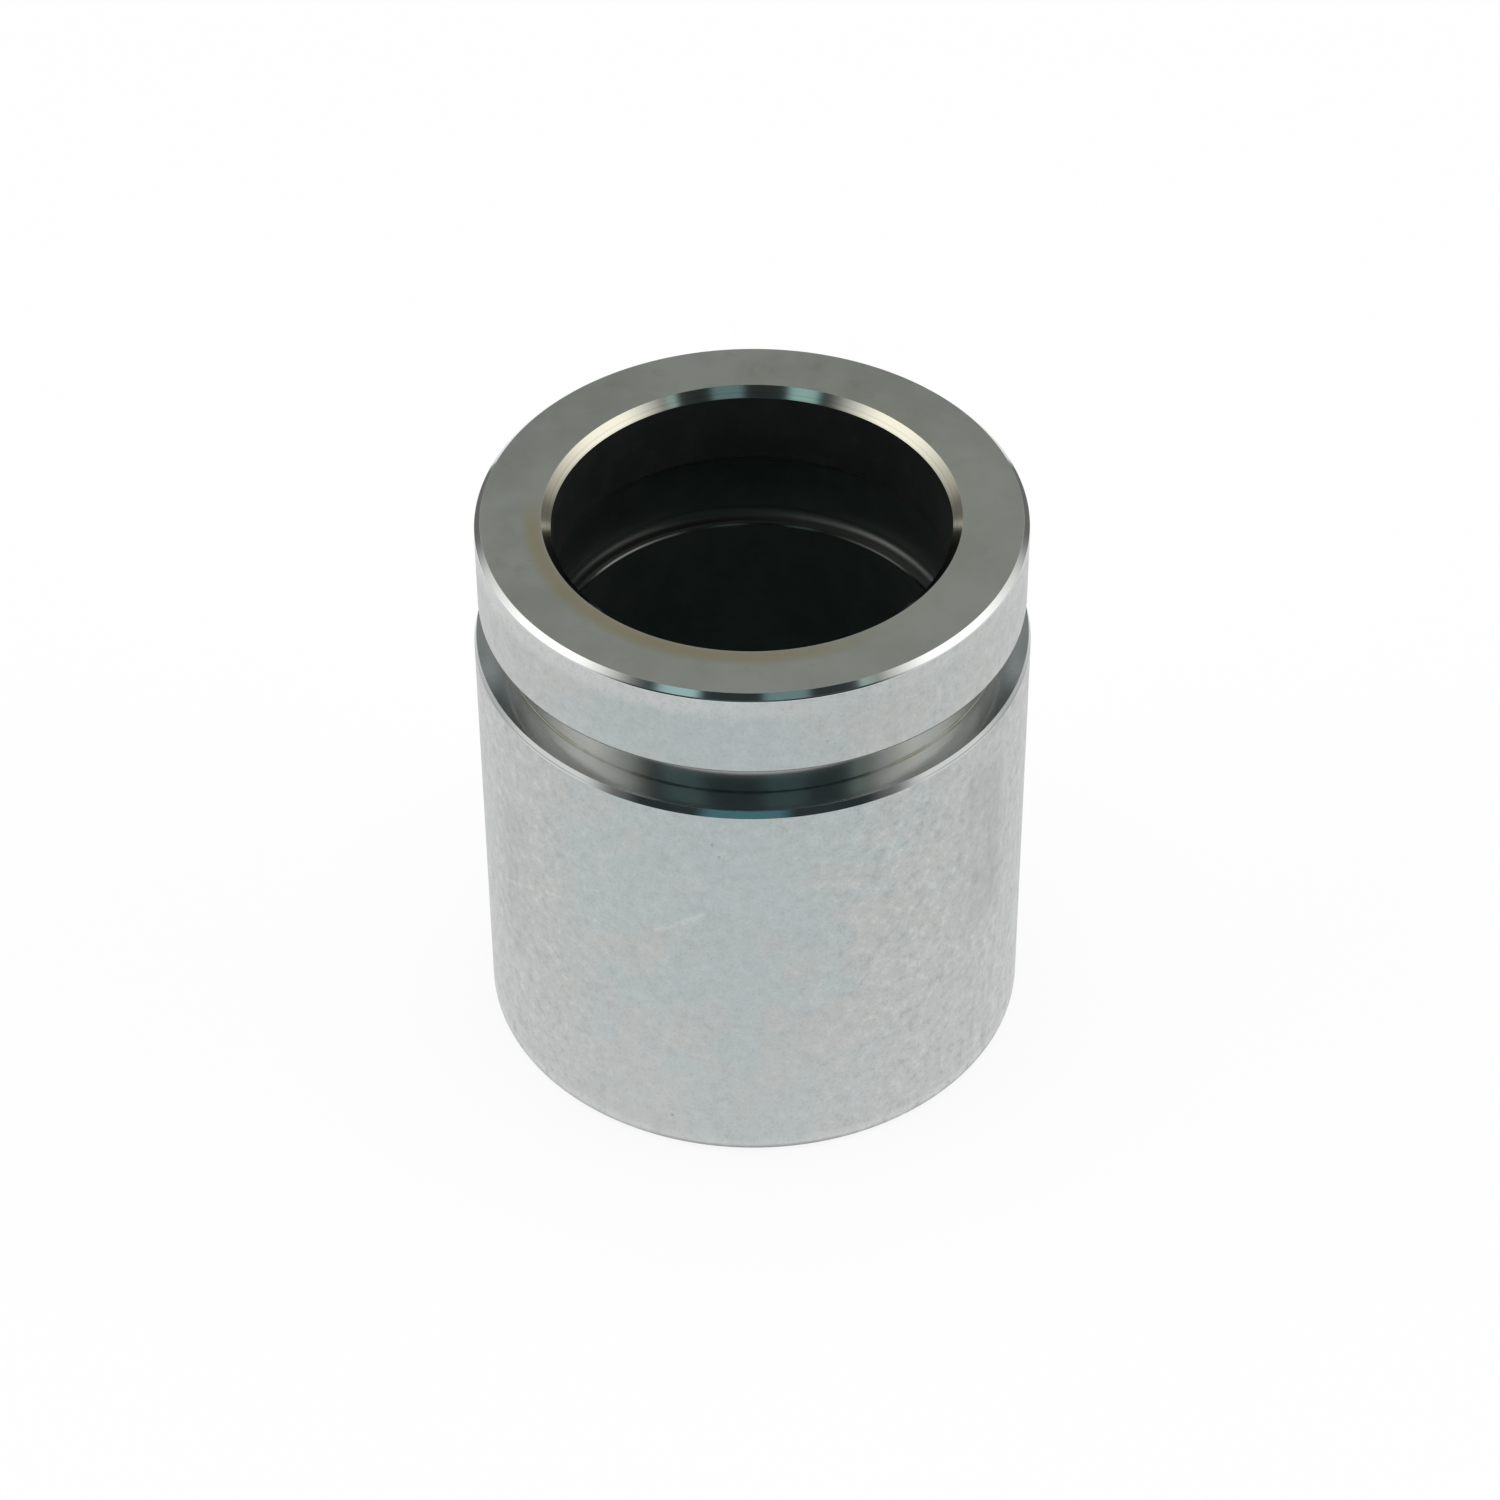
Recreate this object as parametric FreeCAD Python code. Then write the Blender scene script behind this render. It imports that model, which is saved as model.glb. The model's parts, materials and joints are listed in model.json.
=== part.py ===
import FreeCAD, Part
import math
import os

# Brake caliper piston: one steel cup, turned all over from a single blank.
# Millimetres. The axis is Z, the closed base stands on Z = 0 and the mouth opens upwards.

# Outside of the body
body_diameter = 48.0
overall_height = 53.0
base_chamfer = 0.5

# Land at the open end, a little smaller than the body, and its outer edges
land_step = 0.5
land_height = 8.25
rim_chamfer = 0.5
land_edge_break = 0.1

# Square groove for the dust boot, between the land and the shoulder of the body
groove_width = 4.0
groove_depth = 2.5

# Steep lead-in chamfer at the shoulder, along the axis and across it
lead_in_length = 0.7
lead_in_depth = 0.2

# Mouth and lip of the hollow
lip_wall = 7.0
lip_depth = 7.3
mouth_chamfer = 0.82

# Undercut below the lip, where the clip of the pad snaps in
undercut_depth = 1.5
undercut_length = 7.7
undercut_fillet = 1.0

# Plain bore below the undercut, down to the thick base
ledge_width = 1.5
ledge_edge_break = 0.15
base_thickness = 7.0
floor_fillet = 3.0


def axial_point(radius, height):
    """Point of the half section, which lies in the XZ plane."""
    return FreeCAD.Vector(radius, 0, height)


def arc_at_corner(before, corner, after, fillet):
    """Tangent arc that rounds one corner of the section."""
    towards_before = (before - corner).normalize()
    towards_after = (after - corner).normalize()
    half_angle = towards_before.getAngle(towards_after) / 2
    setback = fillet / math.tan(half_angle)
    bisector = (towards_before + towards_after).normalize()
    middle = corner + bisector * (fillet / math.sin(half_angle) - fillet)
    start = corner + towards_before * setback
    end = corner + towards_after * setback
    return Part.Arc(start, middle, end).toShape()


def section_wire(corners):
    """Closed wire through (radius, height, fillet) corners, where a fillet of 0 is a sharp corner."""
    points = [axial_point(radius, height) for radius, height, _ in corners]
    count = len(points)
    arcs = {}
    for index, (_, _, fillet) in enumerate(corners):
        if fillet > 0:
            before = points[index - 1]
            after = points[(index + 1) % count]
            arcs[index] = arc_at_corner(before, points[index], after, fillet)
    edges = []
    for index in range(count):
        following = (index + 1) % count
        if index in arcs:
            edges.append(arcs[index])
        start = arcs[index].Vertexes[-1].Point if index in arcs else points[index]
        end = arcs[following].Vertexes[0].Point if following in arcs else points[following]
        edges.append(Part.makeLine(start, end))
    return Part.Wire(edges)


def outside_corners():
    """Outside of the cup, from the middle of the base up to the rim."""
    body_radius = body_diameter / 2
    land_radius = body_radius - land_step
    groove_radius = body_radius - groove_depth
    land_bottom = overall_height - land_height
    shoulder = land_bottom - groove_width
    return [
        (0, 0, 0),
        (body_radius - base_chamfer, 0, 0),
        (body_radius, base_chamfer, 0),
        (body_radius, shoulder - lead_in_length, 0),
        (body_radius - lead_in_depth, shoulder, 0),
        (groove_radius, shoulder, 0),
        (groove_radius, land_bottom, 0),
        (land_radius - land_edge_break, land_bottom, 0),
        (land_radius, land_bottom + land_edge_break, 0),
        (land_radius, overall_height - rim_chamfer, 0),
        (land_radius - rim_chamfer, overall_height, 0),
    ]


def inside_corners():
    """Inside of the cup, from the rim down the hollow to the middle of its floor."""
    body_radius = body_diameter / 2
    lip_radius = body_radius - lip_wall
    undercut_radius = lip_radius + undercut_depth
    bore_radius = undercut_radius - ledge_width
    lip_bottom = overall_height - lip_depth
    undercut_bottom = lip_bottom - undercut_length
    return [
        (lip_radius + mouth_chamfer, overall_height, 0),
        (lip_radius, overall_height - mouth_chamfer, 0),
        (lip_radius, lip_bottom, 0),
        (undercut_radius, lip_bottom - undercut_depth, 0),
        (undercut_radius, undercut_bottom, undercut_fillet),
        (bore_radius + ledge_edge_break, undercut_bottom, 0),
        (bore_radius, undercut_bottom - ledge_edge_break, 0),
        (bore_radius, base_thickness, floor_fillet),
        (0, base_thickness, 0),
    ]


def piston():
    """The whole cup: its half section turned once round the axis."""
    section = Part.Face(section_wire(outside_corners() + inside_corners()))
    return section.revolve(FreeCAD.Vector(0, 0, 0), FreeCAD.Vector(0, 0, 1), 360)


os.makedirs("parts", exist_ok=True)
cup = piston()
cup.exportStep("parts/piston.step")
print("piston: valid", cup.isValid(), "volume", round(cup.Volume, 1), "mm3")
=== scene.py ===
import json
import math

import bpy
from mathutils import Euler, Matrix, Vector


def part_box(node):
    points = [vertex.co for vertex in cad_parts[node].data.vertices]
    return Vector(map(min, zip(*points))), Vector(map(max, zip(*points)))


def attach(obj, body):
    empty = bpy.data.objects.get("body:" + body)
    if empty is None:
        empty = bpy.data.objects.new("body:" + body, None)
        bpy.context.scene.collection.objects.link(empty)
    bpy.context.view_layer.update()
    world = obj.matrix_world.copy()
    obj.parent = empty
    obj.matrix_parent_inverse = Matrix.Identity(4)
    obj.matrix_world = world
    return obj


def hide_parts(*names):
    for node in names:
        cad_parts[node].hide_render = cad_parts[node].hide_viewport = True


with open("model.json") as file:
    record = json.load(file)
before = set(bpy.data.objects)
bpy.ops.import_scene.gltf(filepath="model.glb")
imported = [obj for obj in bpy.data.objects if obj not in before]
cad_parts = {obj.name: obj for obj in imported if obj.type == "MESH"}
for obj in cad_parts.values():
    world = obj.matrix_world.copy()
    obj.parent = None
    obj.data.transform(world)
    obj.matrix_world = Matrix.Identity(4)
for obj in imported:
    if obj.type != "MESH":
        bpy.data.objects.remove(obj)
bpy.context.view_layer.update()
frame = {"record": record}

# Sizes in metres, with the frame's own sizes where it has them
MM = 0.001
PART_LOW, PART_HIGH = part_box("piston")
MOUNTS = {mount["name"]: mount for mount in frame["record"]["mounts"]}
BODY_RADIUS = MOUNTS["outer_wall"]["dims"]["r_mm"] * MM
LIP_RADIUS = MOUNTS["mouth_bore"]["dims"]["r_mm"] * MM
HEIGHT = PART_HIGH.z

BASE_CHAMFER = 0.5 * MM
LAND_RADIUS = BODY_RADIUS - 0.5 * MM
LAND_BOTTOM = HEIGHT - 8.25 * MM
RIM_CHAMFER = 0.5 * MM
LAND_EDGE_ROUND = 0.22 * MM
SHOULDER = LAND_BOTTOM - 4.0 * MM
LEAD_IN_LENGTH = 0.7 * MM
LEAD_IN_DEPTH = 0.2 * MM
GROOVE_RADIUS = BODY_RADIUS - 2.5 * MM
GROOVE_CORNER = 0.07 * MM
MOUTH_CHAMFER = 0.82 * MM
LIP_BOTTOM = HEIGHT - 7.3 * MM
UNDERCUT_DEPTH = 1.5 * MM
UNDERCUT_RADIUS = LIP_RADIUS + UNDERCUT_DEPTH
UNDERCUT_BOTTOM = LIP_BOTTOM - 7.7 * MM
UNDERCUT_FILLET = 1.0 * MM
BORE_RADIUS = UNDERCUT_RADIUS - 1.5 * MM
LEDGE_EDGE_BREAK = 0.15 * MM
FLOOR_HEIGHT = 7.0 * MM
FLOOR_FILLET = 3.0 * MM
EDGE_ROUND = 0.04 * MM
SHOULDER_ROUND = 0.01 * MM
RIM_ROUND = 0.25 * MM

TURN_STEPS = 384
ARC_STEPS = 6
AXIS_TOLERANCE = 1e-9

# Camera, from the circles of the turned part in the 1500 x 1500 photograph
SENSOR_WIDTH = 36.0
PHOTO_WIDTH = 1500
FOCAL_PIXELS = 4560.6
CENTRE_OFFSET_PIXELS = 3.21
CAMERA_PLACE = Vector((0.0, -12.4739 * BODY_RADIUS, HEIGHT + 10.1259 * BODY_RADIUS))
CAMERA_PITCH = 0.7337
CAMERA_ROLL = -0.0055

# White table, about four part widths in radius, and a hair below the base so that the faces don't meet
TABLE_RADIUS = 0.19
TABLE_VERTICES = 256
TABLE_GLOW = 0.90
TABLE_DROP = 0.02 * MM

# Lamp over the table
LAMP_WIDTH = 0.9
LAMP_HEIGHT = 1.2
LAMP_POWER = 8.8

# Marks of use on the wall in millimetres: place round the wall and height, the same for the far end of
# a line, and its half width
SCRATCHES = [
    (-8.4, 26.2, -7.0, 26.9, 0.34),
    (-6.6, 27.2, -4.3, 28.7, 0.25),
    (-26.9, 20.4, -22.1, 23.3, 0.22),
    (-21.9, 22.0, -20.1, 24.3, 0.18),
    (-20.1, 24.3, -18.0, 25.0, 0.17),
]
WORN_PATCHES = [(23.6, 21.5, 23.2, 34.0, 3.0), (-25.5, 15.0, -24.8, 29.0, 1.8)]
PITS = [(-25.5, 13.9), (-7.4, 3.5), (-28.0, 8.1), (6.3, 47.5), (-2.8, 35.6), (-3.5, 36.9)]
PIT_RADIUS = 0.16

# Heights of the shelf of the boot groove and of the ledge in the hollow, in millimetres
SHELF_HEIGHT = SHOULDER / MM
LEDGE_HEIGHT = UNDERCUT_BOTTOM / MM

# Angles from the front, in radians, where the groove's corner line turns from painted shade to olive
LINE_DARK_UNTIL = 0.35
LINE_OLIVE_FROM = 0.50

# Tones that several finishes of the wall share
DULL_ZINC = (0.37, 0.39, 0.385, 1.0)
PALE_ZINC_AND_SHEEN = (0.66, 0.67, 0.66, 1.0)
WHITE = (1.0, 1.0, 1.0, 1.0)


class Nodes:
    """Short ways to add shader nodes to one tree."""

    def __init__(self, tree):
        self.tree = tree
        self.tree.nodes.clear()

    def add(self, kind, **settings):
        node = self.tree.nodes.new(kind)
        for name, value in settings.items():
            setattr(node, name, value)
        return node

    def plug(self, socket, value):
        """Links an output, or writes a plain value."""
        if isinstance(value, bpy.types.NodeSocket):
            self.tree.links.new(value, socket)
        else:
            socket.default_value = value

    def math(self, operation, first, second=0.0):
        node = self.add("ShaderNodeMath", operation=operation)
        for socket, value in zip(node.inputs, (first, second)):
            self.plug(socket, value)
        return node.outputs[0]

    def vector(self, operation, first, second=None):
        node = self.add("ShaderNodeVectorMath", operation=operation)
        self.plug(node.inputs[0], first)
        if second is not None:
            self.plug(node.inputs[1], second)
        return node.outputs["Value" if operation in ("DOT_PRODUCT", "LENGTH") else "Vector"]

    def scale(self, vector, factor):
        node = self.add("ShaderNodeVectorMath", operation="SCALE")
        self.plug(node.inputs[0], vector)
        self.plug(node.inputs["Scale"], factor)
        return node.outputs[0]

    def smooth(self, value, low, high, start=0.0, end=1.0):
        """Smooth step of value from low to high, going from start to end."""
        node = self.add("ShaderNodeMapRange", interpolation_type="SMOOTHSTEP")
        for socket, item in zip(node.inputs, (value, low, high, start, end)):
            self.plug(socket, item)
        return node.outputs[0]

    def band(self, value, low, high, soft):
        """1 between low and high, with soft sides."""
        rise = self.smooth(value, low - soft, low + soft)
        fall = self.smooth(value, high - soft, high + soft, 1.0, 0.0)
        return self.math("MULTIPLY", rise, fall)

    def product(self, *factors):
        result = factors[0]
        for factor in factors[1:]:
            result = self.math("MULTIPLY", result, factor)
        return result

    def mix(self, factor, first, second):
        """Colour from first to second."""
        node = self.add("ShaderNodeMix", data_type="RGBA")
        self.plug(node.inputs["Factor"], factor)
        self.plug(node.inputs[6], first)
        self.plug(node.inputs[7], second)
        return node.outputs[2]

    def combine(self, x, y, z):
        node = self.add("ShaderNodeCombineXYZ")
        for socket, value in zip(node.inputs, (x, y, z)):
            self.plug(socket, value)
        return node.outputs[0]

    def separate(self, vector):
        node = self.add("ShaderNodeSeparateXYZ")
        self.plug(node.inputs[0], vector)
        return node.outputs

    def noise(self, place, scale, detail, roughness):
        node = self.add("ShaderNodeTexNoise")
        self.plug(node.inputs["Vector"], place)
        node.inputs["Scale"].default_value = scale
        node.inputs["Detail"].default_value = detail
        node.inputs["Roughness"].default_value = roughness
        return node.outputs["Fac"]

    def noise_vector(self, place, scale):
        """Three noises at once, centred on 0."""
        node = self.add("ShaderNodeTexNoise")
        self.plug(node.inputs["Vector"], place)
        node.inputs["Scale"].default_value = scale
        return self.vector("SUBTRACT", node.outputs["Color"], (0.5, 0.5, 0.5))


def colour(red, green, blue):
    return (red, green, blue, 1.0)


class Surface(Nodes):
    """A plated steel finish, with places on the part in millimetres."""

    def __init__(self, name):
        self.material = bpy.data.materials.new(name)
        self.material.use_nodes = True
        super().__init__(self.material.node_tree)
        self.shader = self.add("ShaderNodeBsdfPrincipled")
        self.shader.inputs["Metallic"].default_value = 1.0
        output = self.add("ShaderNodeOutputMaterial")
        self.plug(output.inputs["Surface"], self.shader.outputs[0])
        coordinates = self.add("ShaderNodeTexCoord")
        self.place = self.scale(coordinates.outputs["Object"], 1.0 / MM)
        self.x, self.y, self.z = self.separate(self.place)
        across = self.math("MULTIPLY", self.x, self.x)
        along = self.math("MULTIPLY", self.y, self.y)
        self.radius = self.math("SQRT", self.math("ADD", across, along))
        self.angle = self.math("ARCTAN2", self.x, self.math("MULTIPLY", self.y, -1.0))

    def stretched(self, across, upright):
        """Place scaled apart in the plane and along the axis, for streaks."""
        return self.combine(
            self.math("MULTIPLY", self.x, across),
            self.math("MULTIPLY", self.y, across),
            self.math("MULTIPLY", self.z, upright),
        )

    def unrolled(self):
        """Millimetres round the outer wall from the front, and height."""
        around = self.math("MULTIPLY", self.angle, BODY_RADIUS / MM)
        return self.combine(around, self.z, 0.0)

    def near_line(self, flat, from_u, from_v, to_u, to_v, half_width):
        """1 on a straight scratch of the unrolled wall, fading to 0 beside it."""
        start = Vector((from_u, from_v, 0.0))
        along = Vector((to_u, to_v, 0.0)) - start
        offset = self.vector("SUBTRACT", flat, start)
        share = self.vector("DOT_PRODUCT", offset, along / along.length_squared)
        share = self.math("MINIMUM", self.math("MAXIMUM", share, 0.0), 1.0)
        away = self.vector("LENGTH", self.vector("SUBTRACT", offset, self.scale(along, share)))
        return self.smooth(away, half_width * 0.4, half_width * 1.6, 1.0, 0.0)

    def near_point(self, flat, u, v, radius):
        """1 on a pit of the unrolled wall, fading to 0 round it."""
        away = self.vector("LENGTH", self.vector("SUBTRACT", flat, Vector((u, v, 0.0))))
        return self.smooth(away, radius * 0.5, radius * 1.4, 1.0, 0.0)

    def largest(self, masks):
        result = masks[0]
        for mask in masks[1:]:
            result = self.math("MAXIMUM", result, mask)
        return result

    def bump(self, height, strength, distance):
        node = self.add("ShaderNodeBump")
        node.inputs["Strength"].default_value = strength
        node.inputs["Distance"].default_value = distance
        self.plug(node.inputs["Height"], height)
        return node.outputs[0]

    def set(self, name, value):
        self.plug(self.shader.inputs[name], value)


def wall_ground(s, blots):
    """Even tones of the wall: a bluish film in front, painted light low down and below the rim, a painted
    contact shadow.
    """
    aside = s.math("ABSOLUTE", s.math("ADD", s.x, 2.0))
    ragged = s.math("ADD", aside, s.smooth(blots, 0.3, 0.7, 11.0, -11.0))
    tapered = s.math("ADD", ragged, s.smooth(s.z, 8.0, 38.0, 6.0, 0.0))
    front = s.smooth(s.y, -20.0, -14.0, 1.0, 0.0)
    film = s.product(s.smooth(tapered, 5.0, 19.0, 1.0, 0.0), front)
    tone = s.mix(film, colour(0.507, 0.527, 0.513), colour(0.478, 0.527, 0.528))
    # Painted light: the wall lightens towards the foot, with a lighter band just above the bottom edge
    tone = s.mix(s.smooth(s.z, 4.0, 20.0, 0.22, 0.0), tone, colour(0.60, 0.61, 0.60))
    sideways = s.smooth(s.math("ABSOLUTE", s.x), 4.0, 15.0, 0.25, 1.0)
    foot = s.math("MULTIPLY", s.smooth(s.z, 1.0, 2.0, 0.45, 0.0), s.smooth(sideways, 0.2, 1.0, 0.6, 1.0))
    tone = s.mix(foot, tone, colour(0.69, 0.695, 0.69))
    # Painted contact shadow: a dark band along the very bottom of the wall
    painted_contact_shadow = s.math("MULTIPLY", s.smooth(s.z, 0.55, 0.95, 0.8, 0.0), s.smooth(sideways, 0.2, 1.0, 1.0, 0.45))
    tone = s.mix(painted_contact_shadow, tone, colour(0.28, 0.28, 0.275))
    # Painted sheen: a lighter band just below the rim, mostly on the left
    at_top = s.smooth(s.z, 50.0, 51.4, 0.0, 0.55)
    below_rim = s.math("MULTIPLY", at_top, s.smooth(s.x, -6.0, 8.0, 1.0, 0.35))
    return s.mix(below_rim, tone, PALE_ZINC_AND_SHEEN)


def wall_mottle(s, tone, mottle, grain):
    """Mottled and grainy plating, rubbed towards the sides, with upright strokes on the body's right."""
    from_middle = s.math("ABSOLUTE", s.math("ADD", s.x, 4.0))
    on_land = s.smooth(s.z, 41.0, 44.0, 1.0, 0.55)
    rubbed = s.math("MULTIPLY", s.smooth(from_middle, 5.0, 19.0, 0.38, 1.05), on_land)
    dark_spots = s.product(s.smooth(mottle, 0.28, 0.50, 1.0, 0.0), rubbed, 0.58)
    light_spots = s.product(s.smooth(mottle, 0.50, 0.72), rubbed, 0.54)
    tone = s.mix(dark_spots, tone, DULL_ZINC)
    tone = s.mix(light_spots, tone, colour(0.65, 0.665, 0.655))
    tone = s.mix(s.smooth(grain, 0.30, 0.52, 0.24, 0.0), tone, colour(0.35, 0.37, 0.37))
    strokes = s.noise(s.stretched(0.9, 0.12), 1.0, 4.0, 0.65)
    at_side = s.math("MULTIPLY", s.smooth(s.x, 16.0, 20.5), s.smooth(s.z, 36.0, 40.0, 1.0, 0.0))
    light_strokes = s.product(s.smooth(strokes, 0.52, 0.70), at_side, 0.35)
    dark_strokes = s.product(s.smooth(strokes, 0.32, 0.48, 1.0, 0.0), at_side, 0.35)
    tone = s.mix(light_strokes, tone, PALE_ZINC_AND_SHEEN)
    return s.mix(dark_strokes, tone, colour(0.36, 0.375, 0.37))


def wall_marks(s, tone, blots):
    """Worn patches, scratches and pits of the wall, with frayed outlines."""
    frayed = s.add("ShaderNodeVectorMath", operation="MULTIPLY_ADD")
    s.plug(frayed.inputs[0], s.noise_vector(s.place, 1.2))
    frayed.inputs[1].default_value = (0.5, 0.5, 0.0)
    s.plug(frayed.inputs[2], s.unrolled())
    flat = frayed.outputs[0]
    worn = s.largest([s.near_line(flat, *patch) for patch in WORN_PATCHES])
    tone = s.mix(s.product(worn, s.smooth(blots, 0.35, 0.55, 0.3, 1.0), 0.45), tone, DULL_ZINC)
    broken = s.smooth(s.noise(s.place, 1.6, 2.0, 0.6), 0.36, 0.56, 0.10, 1.0)
    scratches = s.largest([s.near_line(flat, *scratch) for scratch in SCRATCHES])
    tone = s.mix(s.product(scratches, broken, 0.32), tone, colour(0.72, 0.70, 0.695))
    pits = s.largest([s.near_point(flat, u, v, PIT_RADIUS) for u, v in PITS])
    return s.mix(s.math("MULTIPLY", pits, 0.38), tone, colour(0.16, 0.16, 0.155))


def wall_finish():
    """Satin zinc on the walls of body and land."""
    s = Surface("satin_zinc_wall")
    blots = s.noise(s.place, 0.17, 4.0, 0.7)
    mottle = s.noise(s.place, 1.0, 4.0, 0.65)
    grain = s.noise(s.place, 4.0, 2.0, 0.6)
    tone = wall_mottle(s, wall_ground(s, blots), mottle, grain)
    s.set("Base Color", wall_marks(s, tone, blots))
    s.set("Roughness", s.smooth(mottle, 0.3, 0.7, 0.42, 0.36))
    s.set("Normal", s.bump(grain, 0.12, 0.02 * MM))
    return s.material


def face_finish():
    """Fine turned face round the mouth and on the base, with an amber stain along part of the mouth."""
    s = Surface("turned_zinc_face")
    clouds = s.noise(s.place, 0.16, 4.0, 0.62)
    tone = s.mix(s.smooth(clouds, 0.35, 0.65), colour(0.47, 0.49, 0.465), colour(0.53, 0.55, 0.525))
    smudges = s.smooth(s.noise(s.place, 0.38, 5.0, 0.75), 0.30, 0.46, 0.42, 0.0)
    tone = s.mix(smudges, tone, colour(0.36, 0.375, 0.36))
    # Painted sheen: the face lightens towards the front right
    across = s.math("ADD", s.math("MULTIPLY", s.x, 0.6), s.math("MULTIPLY", s.y, -0.8))
    tone = s.mix(s.smooth(across, -22.0, 22.0, 0.0, 0.5), tone, colour(0.57, 0.59, 0.555))
    inner_edge = s.smooth(s.radius, 17.7, 18.2)
    outer_edge = s.smooth(s.radius, 18.7, 19.8, 1.0, 0.0)
    start = s.smooth(s.angle, -1.80, -1.40)
    end = s.smooth(s.angle, 0.05, 0.75, 1.0, 0.12)
    at_rim = s.smooth(s.z, 40.0, 50.0, 0.0, 0.9)
    tone = s.mix(s.product(inner_edge, outer_edge, start, end, at_rim), tone, colour(0.50, 0.455, 0.325))
    s.set("Base Color", tone)
    s.set("Roughness", s.smooth(clouds, 0.3, 0.7, 0.27, 0.33))
    rings = s.noise(s.combine(s.radius, 0.0, 0.0), 2.2, 2.0, 0.5)
    s.set("Normal", s.bump(rings, 0.05, 0.01 * MM))
    return s.material


def edge_finish(name, tone, roughness):
    """Bright chamfers and edge breaks, cut last and left glossy."""
    s = Surface(name)
    s.set("Base Color", tone)
    s.set("Roughness", roughness)
    ripple = s.noise(s.place, 0.5, 2.0, 0.5)
    s.set("Normal", s.bump(ripple, 0.08, 0.02 * MM))
    return s.material


def land_edge_finish():
    """Lower edge of the land, painted dark as the shadow line under the land, darker still round the
    sides.
    """
    s = Surface("land_edge_painted_shadow")
    round_side = s.smooth(s.math("ABSOLUTE", s.angle), 0.30, 0.60)
    s.set("Base Color", s.mix(round_side, colour(0.25, 0.26, 0.255), colour(0.10, 0.098, 0.102)))
    s.set("Roughness", 0.25)
    return s.material


def mouth_finish():
    """Chamfer of the mouth, with a yellow film that is worn away at the back."""
    s = Surface("ivory_chamfer")
    film = s.smooth(s.y, 13.5, 16.5, 1.0, 0.0)
    tone = s.mix(film, colour(0.50, 0.51, 0.49), colour(0.535, 0.515, 0.43))
    lines = s.noise(s.combine(s.radius, s.z, 0.0), 5.0, 2.0, 0.6)
    tone = s.mix(s.smooth(lines, 0.3, 0.5, 0.35, 0.0), tone, colour(0.33, 0.32, 0.27))
    s.set("Base Color", tone)
    s.set("Roughness", 0.11)
    s.set("Normal", s.bump(lines, 0.05, 0.01 * MM))
    return s.material


def lead_in_finish():
    """Glossy lead-in chamfer at the shoulder, with painted shade that darkens it round the sides."""
    s = Surface("lead_in_chamfer")
    # Painted shade round the sides
    round_side = s.smooth(s.math("ABSOLUTE", s.angle), 0.86, 1.15)
    tone = s.mix(round_side, colour(0.575, 0.60, 0.59), colour(0.35, 0.37, 0.365))
    score = s.product(
        s.band(s.z, SHELF_HEIGHT - 0.56, SHELF_HEIGHT - 0.44, 0.06),
        s.smooth(s.math("ABSOLUTE", s.angle), 0.55, 0.75),
    )
    s.set("Base Color", s.mix(s.math("MULTIPLY", score, 0.5), tone, colour(0.20, 0.205, 0.20)))
    s.set("Roughness", 0.07)
    ripple = s.noise(s.place, 0.5, 2.0, 0.5)
    s.set("Normal", s.bump(ripple, 0.08, 0.02 * MM))
    return s.material


def turned_lines(s, tone):
    """Fine lines of the turning tool, darker than the tone between them."""
    lines = s.noise(s.combine(s.radius, s.z, 0.0), 4.0, 2.0, 0.6)
    s.set("Normal", s.bump(lines, 0.05, 0.01 * MM))
    return s.mix(s.smooth(lines, 0.3, 0.55, 0.3, 0.0), tone, colour(0.37, 0.39, 0.39))


def groove_stain(s):
    """Clouds of stain, the same on floor and shelf of the boot groove."""
    return s.smooth(s.noise(s.place, 0.45, 4.0, 0.7), 0.42, 0.60)


def with_residue_and_shade(s, tone, aside, stain, at_corner):
    """The tone with the line of residue along the corner, painted shade in front and olive round the
    sides.
    """
    residue = s.product(
        at_corner,
        s.smooth(stain, 0.0, 1.0, 0.25, 1.0),
        s.smooth(aside, LINE_DARK_UNTIL, LINE_OLIVE_FROM, 0.65, 1.0),
    )
    round_side = s.smooth(aside, LINE_DARK_UNTIL, LINE_OLIVE_FROM)
    # Painted shade darkens the line in front; round the sides it shows its olive colour
    line = s.mix(round_side, colour(0.13, 0.135, 0.13), colour(0.30, 0.30, 0.21))
    return s.mix(s.math("MULTIPLY", residue, 0.8), tone, line)


def groove_floor_finish():
    """Turned floor of the boot groove, with a pink bloom, painted reflections, a painted shadow under the
    land, and residue along its lower edge.
    """
    s = Surface("groove_floor")
    aside = s.math("ABSOLUTE", s.angle)
    tone = turned_lines(s, colour(0.53, 0.55, 0.54))
    stain = groove_stain(s)
    above_corner = s.smooth(s.z, SHELF_HEIGHT + 0.2, SHELF_HEIGHT + 0.6)
    bloom = s.product(stain, s.smooth(aside, 0.45, 0.60), above_corner)
    tone = s.mix(s.math("MULTIPLY", bloom, 0.6), tone, colour(0.58, 0.545, 0.52))
    # Painted reflections round the ends: a dark band, then a pale bluish one
    tone = s.mix(s.band(aside, 1.11, 1.20, 0.08), tone, colour(0.36, 0.365, 0.35))
    tone = s.mix(s.smooth(aside, 1.24, 1.42), tone, colour(0.85, 0.88, 0.88))
    at_corner = s.smooth(s.z, SHELF_HEIGHT + 0.08, SHELF_HEIGHT + 0.32, 1.0, 0.0)
    tone = with_residue_and_shade(s, tone, aside, stain, at_corner)
    # Painted shadow under the land, in front
    painted_shadow_below_land = s.product(
        s.smooth(s.z, SHELF_HEIGHT + 1.6, SHELF_HEIGHT + 1.9),
        s.smooth(aside, 0.36, 0.52, 1.0, 0.0),
    )
    tone = s.mix(s.math("MULTIPLY", painted_shadow_below_land, 0.35), tone, colour(0.07, 0.075, 0.075))
    s.set("Base Color", tone)
    s.set("Metallic", s.smooth(aside, 0.40, 0.52, 1.0, 0.92))
    s.set("Roughness", 0.16)
    return s.material


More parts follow.
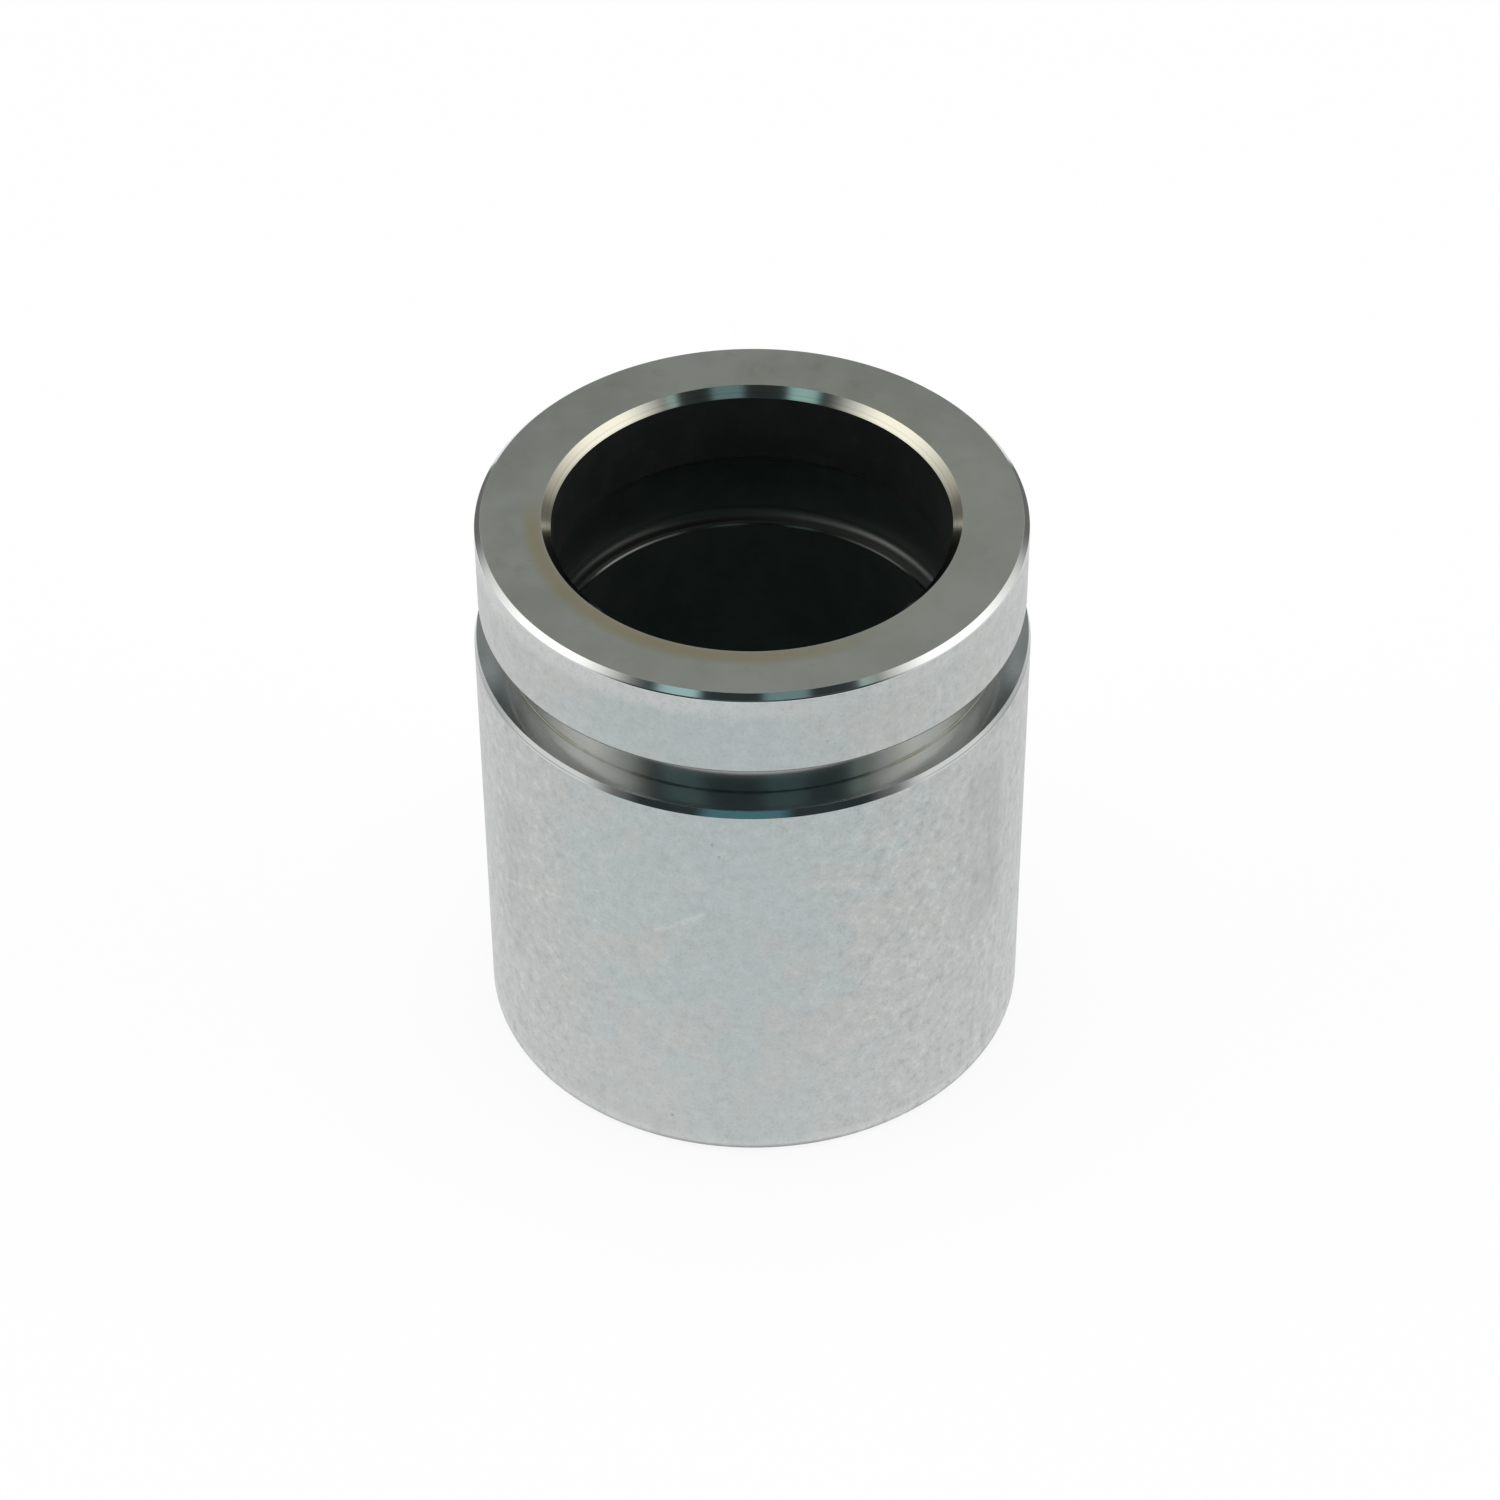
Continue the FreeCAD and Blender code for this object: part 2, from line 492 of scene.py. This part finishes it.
def groove_shelf_finish():
    """Turned shelf below the groove, with painted reflections: dark bands in places, lighter where it runs
    round to the back.
    """
    s = Surface("groove_shelf")
    aside = s.math("ABSOLUTE", s.angle)
    tone = turned_lines(s, colour(0.455, 0.475, 0.465))
    # Painted reflections: dark bands at angles round the front and sides
    dull_and_shade = s.math("MULTIPLY", s.band(aside, 0.53, 0.66, 0.08), 0.34)
    tone = s.mix(dull_and_shade, tone, colour(0.27, 0.28, 0.275))
    dark = s.math("MULTIPLY", s.band(s.angle, -0.34, -0.19, 0.05), 0.40)
    tone = s.mix(dark, tone, colour(0.10, 0.105, 0.105))
    bent = s.math("ADD", aside, s.smooth(s.radius, 21.4, 23.8, -0.13, 0.13))
    bent_band = s.math("MULTIPLY", s.band(bent, 0.98, 1.17, 0.10), 0.8)
    tone = s.mix(bent_band, tone, colour(0.31, 0.315, 0.30))
    # Painted reflection: a pale bluish patch at the ends, darker again beyond them
    ends = s.math("MULTIPLY", s.smooth(aside, 1.10, 1.27), s.smooth(s.radius, 21.9, 23.1))
    tone = s.mix(ends, tone, colour(0.64, 0.68, 0.69))
    tone = s.mix(s.smooth(aside, 1.28, 1.42, 0.0, 0.7), tone, colour(0.44, 0.47, 0.48))
    stain = groove_stain(s)
    at_corner = s.smooth(s.radius, GROOVE_RADIUS / MM + 0.05, GROOVE_RADIUS / MM + 0.22, 1.0, 0.0)
    s.set("Base Color", with_residue_and_shade(s, tone, aside, stain, at_corner))
    s.set("Roughness", s.smooth(aside, 1.10, 1.35, 0.12, 0.30))
    return s.material


def corner_finish():
    """Corner between shelf and floor of the boot groove: painted shade in front, olive round the sides."""
    s = Surface("amber_corner_and_shade")
    round_side = s.smooth(s.math("ABSOLUTE", s.angle), LINE_DARK_UNTIL, LINE_OLIVE_FROM)
    s.set("Base Color", s.mix(round_side, colour(0.10, 0.103, 0.10), colour(0.32, 0.32, 0.27)))
    s.set("Roughness", 0.18)
    return s.material


def inside_finish(name, dark, light, roughness, metallic, left=1.0, right=1.0, sides=1.0):
    """Dark, thinly plated inside of the cup. Left, right and sides scale the tone away from the middle, as
    painted light and shade.
    """
    s = Surface(name)
    dull_and_shade = s.smooth(s.noise(s.place, 0.22, 4.0, 0.65), 0.35, 0.68)
    # Painted light and shade: the tone is scaled towards the left, the right and the sides
    outwards = s.smooth(s.math("ABSOLUTE", s.x), 3.0, 14.0, 1.0, sides)
    side = s.math("MULTIPLY", s.smooth(s.x, -7.0, 7.0, left, right), outwards)
    s.set("Base Color", s.scale(s.mix(dull_and_shade, dark, light), side))
    s.set("Metallic", metallic)
    s.set("Roughness", roughness)
    return s.material


def fillet_finish():
    """Fillet at the foot of the undercut, with painted shade at its foot and painted light on the right.
    """
    s = Surface("dark_fillet")
    # Painted light on the right, and painted shade at the fillet's foot
    side = s.smooth(s.x, -7.0, 7.0, 0.60, 1.60)
    above = s.smooth(s.z, LEDGE_HEIGHT + 0.30, LEDGE_HEIGHT + 0.75)
    foot = s.scale((0.070, 0.073, 0.069), side)
    s.set("Base Color", s.mix(above, foot, colour(0.17, 0.195, 0.185)))
    s.set("Metallic", 0.78)
    s.set("Roughness", 0.32)
    return s.material


FINISHES = {
    "wall": wall_finish(),
    "face": face_finish(),
    "edge": edge_finish("bright_chamfer", colour(0.62, 0.63, 0.62), 0.09),
    "land_edge": land_edge_finish(),
    "lead_in": lead_in_finish(),
    # Painted shadow: the base chamfer is darkened for the contact shadow under the part
    "foot": edge_finish("base_chamfer_painted_shadow", colour(0.20, 0.205, 0.20), 0.30),
    "mouth": mouth_finish(),
    "groove": groove_floor_finish(),
    "shelf": groove_shelf_finish(),
    "underside": edge_finish("land_underside", colour(0.70, 0.72, 0.71), 0.24),
    "corner": corner_finish(),
    # The left, right and sides scales of the inside finishes paint light and shade by side
    "lip": inside_finish(
        "dark_lip", colour(0.080, 0.094, 0.090), colour(0.118, 0.117, 0.113),
        roughness=0.32, metallic=0.7, left=1.05, right=0.95, sides=0.75,
    ),
    "bore": inside_finish(
        "dark_bore", colour(0.12, 0.15, 0.143), colour(0.15, 0.18, 0.172),
        roughness=0.28, metallic=0.7,
    ),
    "undercut": inside_finish(
        "dark_undercut", colour(0.17, 0.21, 0.20), colour(0.205, 0.245, 0.235),
        roughness=0.32, metallic=0.7, left=0.95, right=1.05, sides=0.6,
    ),
    "fillet": fillet_finish(),
    "ledge": inside_finish(
        "dark_ledge", colour(0.10, 0.105, 0.10), colour(0.13, 0.135, 0.13),
        roughness=0.30, metallic=0.8,
    ),
    "ledge_edge": inside_finish(
        "bright_ledge_edge", colour(0.12, 0.125, 0.12), colour(0.16, 0.16, 0.15),
        roughness=0.16, metallic=1.0, left=0.75, right=0.36,
    ),
}


def section_corners():
    """Corners of the half section as (radius, height, round, finish of the run that follows)."""
    return [
        (0.0, 0.0, 0.0, "face"),
        (BODY_RADIUS - BASE_CHAMFER, 0.0, EDGE_ROUND, "foot"),
        (BODY_RADIUS, BASE_CHAMFER, EDGE_ROUND, "wall"),
        (BODY_RADIUS, SHOULDER - LEAD_IN_LENGTH, EDGE_ROUND, "lead_in"),
        (BODY_RADIUS - LEAD_IN_DEPTH, SHOULDER, SHOULDER_ROUND, "shelf"),
        (GROOVE_RADIUS, SHOULDER, GROOVE_CORNER, "groove"),
        (GROOVE_RADIUS, LAND_BOTTOM, GROOVE_CORNER, "underside"),
        (LAND_RADIUS, LAND_BOTTOM, LAND_EDGE_ROUND, "wall"),
        (LAND_RADIUS, HEIGHT - RIM_CHAMFER, RIM_ROUND, "edge"),
        (LAND_RADIUS - RIM_CHAMFER, HEIGHT, EDGE_ROUND, "face"),
        (LIP_RADIUS + MOUTH_CHAMFER, HEIGHT, EDGE_ROUND, "mouth"),
        (LIP_RADIUS, HEIGHT - MOUTH_CHAMFER, EDGE_ROUND, "lip"),
        (LIP_RADIUS, LIP_BOTTOM, EDGE_ROUND, "undercut"),
        (UNDERCUT_RADIUS, LIP_BOTTOM - UNDERCUT_DEPTH, 0.0, "undercut"),
        (UNDERCUT_RADIUS, UNDERCUT_BOTTOM, UNDERCUT_FILLET, "ledge"),
        (BORE_RADIUS + LEDGE_EDGE_BREAK, UNDERCUT_BOTTOM, EDGE_ROUND, "ledge_edge"),
        (BORE_RADIUS, UNDERCUT_BOTTOM - LEDGE_EDGE_BREAK, EDGE_ROUND, "bore"),
        (BORE_RADIUS, FLOOR_HEIGHT, FLOOR_FILLET, "bore"),
        (0.0, FLOOR_HEIGHT, 0.0, "bore"),
    ]


def corner_arc(before, corner, after, fillet):
    """Points and outward normals of the tangent arc that rounds a corner of the section."""
    to_before = (before - corner).normalized()
    to_after = (after - corner).normalized()
    half = to_before.angle(to_after) / 2
    centre = corner + (to_before + to_after).normalized() * (fillet / math.sin(half))
    first = corner + to_before * (fillet / math.tan(half)) - centre
    last = corner + to_after * (fillet / math.tan(half)) - centre
    incoming = -to_before
    turns_left = incoming.x * to_after.y - incoming.y * to_after.x > 0
    outward = 1.0 if turns_left else -1.0
    arc = []
    for step in range(ARC_STEPS + 1):
        spoke = first.slerp(last, step / ARC_STEPS)
        arc.append((centre + spoke * fillet, spoke * outward))
    return arc


def arc_finish(before, after):
    """Finish of an arc: its own at three places, or else the glossier of the two that it joins."""
    if {before, after} == {"shelf", "groove"}:
        return "corner"
    if {before, after} == {"underside", "wall"}:
        return "land_edge"
    if {before, after} == {"undercut", "ledge"}:
        return "fillet"
    for finish in ("mouth", "edge", "lead_in", "foot", "ledge_edge"):
        if finish in (before, after):
            return finish
    return after


def section_runs():
    """Straight runs and arcs round the section, each as (points with normals, finish)."""
    corners = section_corners()
    places = [Vector((radius, height)) for radius, height, _, _ in corners]
    count = len(corners)
    arcs = {}
    for index, (_, _, fillet, _) in enumerate(corners):
        if fillet > 0:
            before, after = places[index - 1], places[(index + 1) % count]
            arcs[index] = corner_arc(before, places[index], after, fillet)
    runs = []
    for index in range(count - 1):
        finish = corners[index][3]
        if index in arcs:
            runs.append((arcs[index], arc_finish(corners[index - 1][3], finish)))
        start = arcs[index][-1][0] if index in arcs else places[index]
        end = arcs[index + 1][0][0] if index + 1 in arcs else places[index + 1]
        along = (end - start).normalized()
        outward = Vector((along.y, -along.x))
        runs.append(([(start, outward), (end, outward)], finish))
    return runs


def turned_piece(name):
    """The whole section turned round the axis, as one closed mesh with exact normals."""
    finishes = list(FINISHES)
    vertices, faces, normals, slots = [], [], [], []
    spin = [2 * math.pi * step / TURN_STEPS for step in range(TURN_STEPS)]

    def ring(point):
        """Vertices of one ring, or the one vertex where the outline meets the axis."""
        if point.x < AXIS_TOLERANCE:
            vertices.append((0.0, 0.0, point.y))
            return [len(vertices) - 1] * TURN_STEPS
        first = len(vertices)
        vertices.extend((point.x * math.cos(a), point.x * math.sin(a), point.y) for a in spin)
        return list(range(first, first + TURN_STEPS))

    def turned_normal(normal, step):
        angle = spin[step % TURN_STEPS]
        return (normal.x * math.cos(angle), normal.x * math.sin(angle), normal.y)

    lower = None
    for points, finish in section_runs():
        for (start, start_normal), (end, end_normal) in zip(points, points[1:]):
            lower = lower or ring(start)
            upper = ring(end)
            for step in range(TURN_STEPS):
                following = (step + 1) % TURN_STEPS
                corners = [
                    (lower[step], start_normal, step),
                    (lower[following], start_normal, step + 1),
                    (upper[following], end_normal, step + 1),
                    (upper[step], end_normal, step),
                ]
                if lower[step] == lower[following]:
                    del corners[1]
                elif upper[step] == upper[following]:
                    del corners[3]
                faces.append([vertex for vertex, _, _ in corners])
                normals.extend(turned_normal(normal, at) for _, normal, at in corners)
                slots.append(finishes.index(finish))
            lower = upper
    mesh = bpy.data.meshes.new(name)
    mesh.from_pydata(vertices, [], faces)
    for finish in finishes:
        mesh.materials.append(FINISHES[finish])
    mesh.polygons.foreach_set("material_index", slots)
    mesh.normals_split_custom_set(normals)
    mesh.validate()
    piece = bpy.data.objects.new(name, mesh)
    bpy.context.scene.collection.objects.link(piece)
    return piece


def make_table():
    """White table with the shadow on it. The metal sees it white too, but for its front corners, where
    shade is painted.
    """
    drop = (0.0, 0.0, -TABLE_DROP)
    bpy.ops.mesh.primitive_circle_add(
        vertices=TABLE_VERTICES, radius=TABLE_RADIUS, fill_type="NGON", location=drop,
    )
    table = bpy.context.object
    table.name = "white_table"
    material = bpy.data.materials.new("white_paper")
    material.use_nodes = True
    n = Nodes(material.node_tree)
    paper = n.add("ShaderNodeBsdfDiffuse")
    paper.inputs["Color"].default_value = colour(0.90, 0.90, 0.90)
    white = n.add("ShaderNodeEmission")
    white.inputs["Color"].default_value = WHITE
    coordinates = n.add("ShaderNodeTexCoord")
    x, y, _ = n.separate(coordinates.outputs["Object"])
    towards_front = n.smooth(y, -0.140, -0.060, 1.0, 0.0)
    towards_side = n.smooth(n.math("ABSOLUTE", x), 0.060, 0.105)
    path = n.add("ShaderNodeLightPath")
    shade = n.product(towards_front, towards_side, path.outputs["Is Glossy Ray"])
    n.plug(white.inputs["Strength"], n.smooth(shade, 0.0, 1.0, 1.0, 0.04))
    seen = n.math("MAXIMUM", path.outputs["Is Camera Ray"], path.outputs["Is Glossy Ray"])
    seen = n.math("MAXIMUM", seen, path.outputs["Is Transmission Ray"])
    blend = n.add("ShaderNodeMixShader")
    n.plug(blend.inputs[0], n.math("MULTIPLY", seen, TABLE_GLOW))
    n.plug(blend.inputs[1], paper.outputs[0])
    n.plug(blend.inputs[2], white.outputs[0])
    output = n.add("ShaderNodeOutputMaterial")
    n.plug(output.inputs["Surface"], blend.outputs[0])
    table.data.materials.append(material)


def studio_light(n):
    """Colour of the studio by direction: white paper low down, side lights, a dark gap for the camera."""
    coordinates = n.add("ShaderNodeTexCoord")
    x, y, z = n.separate(coordinates.outputs["Generated"])
    degrees = 180.0 / math.pi
    around = n.math("MULTIPLY", n.math("ARCTAN2", x, n.math("MULTIPLY", y, -1.0)), degrees)
    aside = n.math("ABSOLUTE", around)
    rise = n.math("MULTIPLY", n.math("ARCSINE", z), degrees)
    paper = n.mix(n.smooth(aside, 112.0, 136.0), colour(0.88, 0.88, 0.88), colour(0.19, 0.19, 0.185))
    light = n.mix(n.smooth(rise, 2.0, 18.0), paper, colour(0.33, 0.335, 0.31))
    window = n.product(
        n.smooth(aside, 118.0, 146.0),
        n.band(aside, 100.0, 165.0, 7.0),
        n.band(rise, 28.0, 50.0, 6.0),
    )
    light = n.mix(window, light, colour(0.78, 0.85, 0.87))
    tilted = n.math("ADD", rise, n.math("MULTIPLY", n.math("SUBTRACT", aside, 70.0), 0.25))
    sides = n.product(
        n.smooth(aside, 48.0, 81.0),
        n.smooth(aside, 90.0, 140.0, 1.0, 0.0),
        n.smooth(rise, 2.0, 12.0),
        n.smooth(tilted, 40.0, 64.0, 1.0, 0.0),
    )
    light = n.mix(sides, light, colour(1.75, 1.75, 1.72))
    room = n.mix(n.smooth(rise, 8.0, 34.0), colour(0.028, 0.038, 0.040), colour(0.088, 0.122, 0.132))
    room = n.mix(n.smooth(rise, 40.0, 46.0), room, colour(0.036, 0.044, 0.044))
    low = n.product(n.band(around, -18.5, 12.0, 4.0), n.smooth(rise, 2.0, 30.0, 1.0, 0.0))
    room = n.mix(low, room, colour(0.085, 0.207, 0.245))
    high = n.smooth(rise, 54.0, 62.0, 1.0, 0.0)
    patches = n.math("MULTIPLY", n.smooth(rise, 40.5, 46.0), high)
    left = n.math("MULTIPLY", n.band(around, -42.0, -24.0, 3.0), patches)
    room = n.mix(left, room, colour(0.46, 0.70, 0.68))
    right = n.math("MULTIPLY", n.band(around, 5.0, 25.0, 2.5), patches)
    room = n.mix(right, room, colour(0.20, 0.31, 0.32))
    slit = n.product(n.band(around, 46.5, 53.0, 1.5), n.smooth(rise, 35.0, 46.0), high)
    room = n.mix(slit, room, colour(0.55, 0.74, 0.70))
    inner = n.smooth(rise, -8.0, 12.0, 41.0, 43.0)
    outer = n.smooth(rise, -8.0, 12.0, 68.0, 60.0)
    gap = n.product(n.smooth(aside, inner, outer, 1.0, 0.0), n.smooth(rise, 72.0, 84.0, 1.0, 0.0))
    return n.mix(gap, light, room)


def make_world():
    """The studio as the metal sees it, and plain white behind the table for the camera."""
    world = bpy.data.worlds.new("studio")
    world.use_nodes = True
    n = Nodes(world.node_tree)
    path = n.add("ShaderNodeLightPath")
    shown = n.math("MAXIMUM", path.outputs["Is Camera Ray"], path.outputs["Is Transmission Ray"])
    background = n.add("ShaderNodeBackground")
    n.plug(background.inputs["Color"], n.mix(shown, studio_light(n), WHITE))
    output = n.add("ShaderNodeOutputWorld")
    n.plug(output.inputs["Surface"], background.outputs[0])
    bpy.context.scene.world = world


def make_lamp():
    """Soft overhead lamp for the table, left out of the mirror images in the metal."""
    data = bpy.data.lights.new("overhead_lamp", "AREA")
    data.shape = "DISK"
    data.size = LAMP_WIDTH
    data.energy = LAMP_POWER
    lamp = bpy.data.objects.new("overhead_lamp", data)
    lamp.location = (0.0, 0.0, LAMP_HEIGHT)
    lamp.visible_glossy = False
    bpy.context.scene.collection.objects.link(lamp)


def make_camera():
    """Camera of the photograph, in front of and above the part."""
    data = bpy.data.cameras.new("photo_camera")
    data.sensor_width = SENSOR_WIDTH
    data.lens = FOCAL_PIXELS / PHOTO_WIDTH * SENSOR_WIDTH
    data.shift_x = -CENTRE_OFFSET_PIXELS / PHOTO_WIDTH
    data.clip_start = 0.01
    camera = bpy.data.objects.new("photo_camera", data)
    camera.location = CAMERA_PLACE
    tilt = Euler((math.pi / 2 - CAMERA_PITCH, 0.0, 0.0)).to_matrix()
    roll = Euler((0.0, 0.0, CAMERA_ROLL)).to_matrix()
    camera.rotation_euler = (tilt @ roll).to_euler()
    bpy.context.scene.collection.objects.link(camera)
    bpy.context.scene.camera = camera


bpy.context.scene.view_settings.view_transform = "Standard"
make_camera()
make_world()
make_table()
make_lamp()

piston = turned_piece("piston_skin")
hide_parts("piston")
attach(piston, "root")
